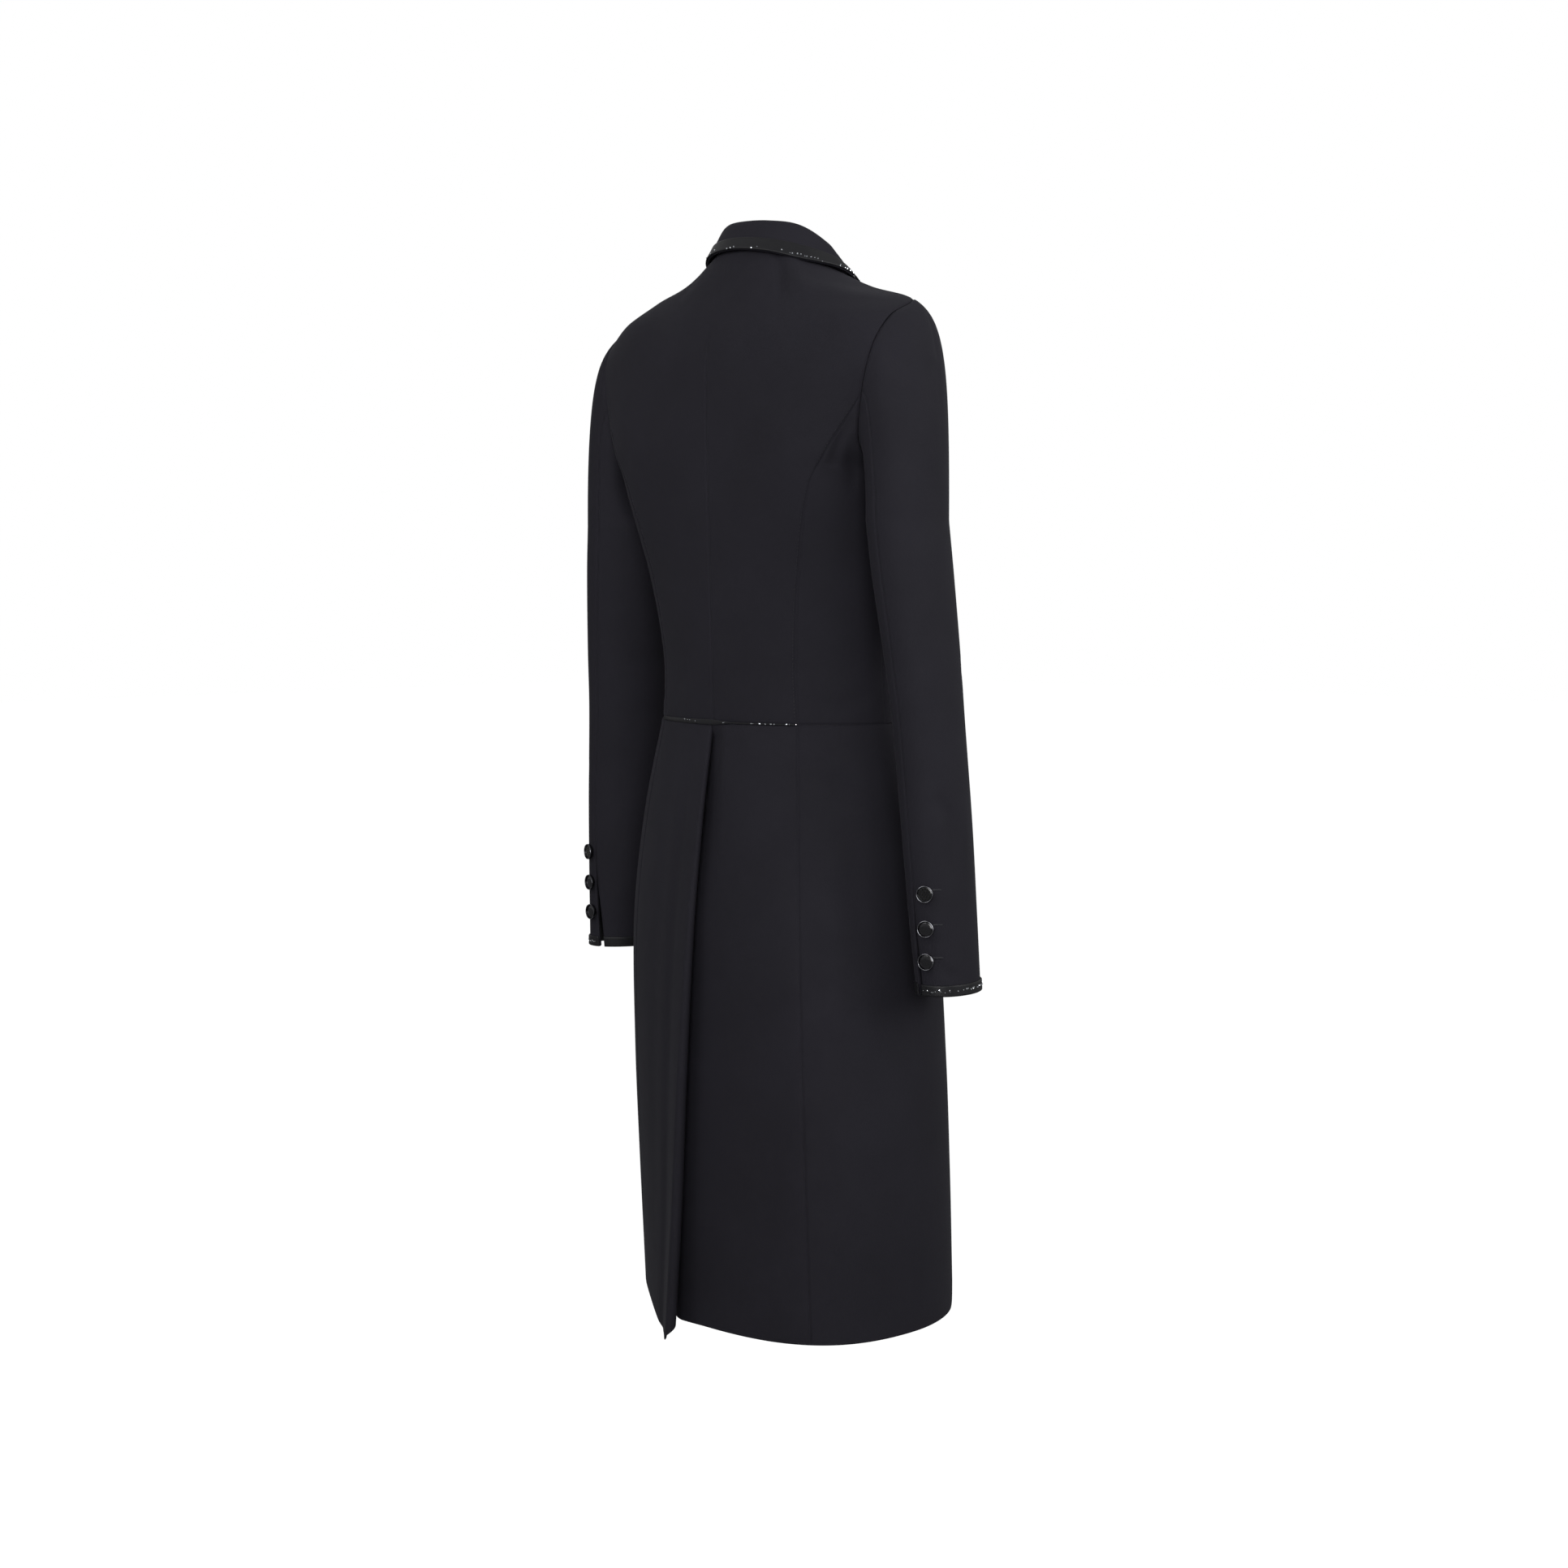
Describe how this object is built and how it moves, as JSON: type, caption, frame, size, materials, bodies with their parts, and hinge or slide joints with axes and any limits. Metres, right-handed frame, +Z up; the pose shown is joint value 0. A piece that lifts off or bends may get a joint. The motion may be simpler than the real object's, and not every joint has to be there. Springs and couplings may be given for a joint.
{
  "type": "dressage tailcoat",
  "caption": "Fitted black riding tailcoat in its worn, hollow form: long sleeves with buttoned vented cuffs, turned-down collar, piped waist seam and two long tails.",
  "frame": {"origin": "middle of the neck opening, level with the top of the shoulders, where the wearer carries the coat", "axes": "+Z up along the wearer's spine, +Y to the coat's back, +X to the wearer's left"},
  "size_m": [0.4772, 0.276, 0.9949],
  "materials": {
    "cloth": "matt",
    "trim": "satin",
    "buttons": "gloss"
  },
  "bodies": {
    "root": {"back_left": "cloth", "back_right": "cloth", "side_back_left": "cloth", "side_back_right": "cloth", "front_left": "cloth", "front_right": "cloth", "lapel_left": "cloth", "lapel_right": "cloth", "tail_back_left": "cloth", "tail_back_right": "cloth", "tail_side_left": "cloth", "tail_side_right": "cloth", "sleeve_top_left": "cloth", "sleeve_top_right": "cloth", "sleeve_under_left": "cloth", "sleeve_under_right": "cloth", "collar_stand": "cloth", "collar_fall": "cloth", "collar_trim": "trim", "cuff_trim_left": "trim", "cuff_trim_right": "trim", "waist_piping": "trim", "cuff_button_left_1": "buttons", "cuff_button_left_2": "buttons", "cuff_button_left_3": "buttons", "cuff_button_right_1": "buttons", "cuff_button_right_2": "buttons", "cuff_button_right_3": "buttons", "front_button_1": "buttons", "front_button_2": "buttons", "front_button_3": "buttons"}
  },
  "joints": []
}
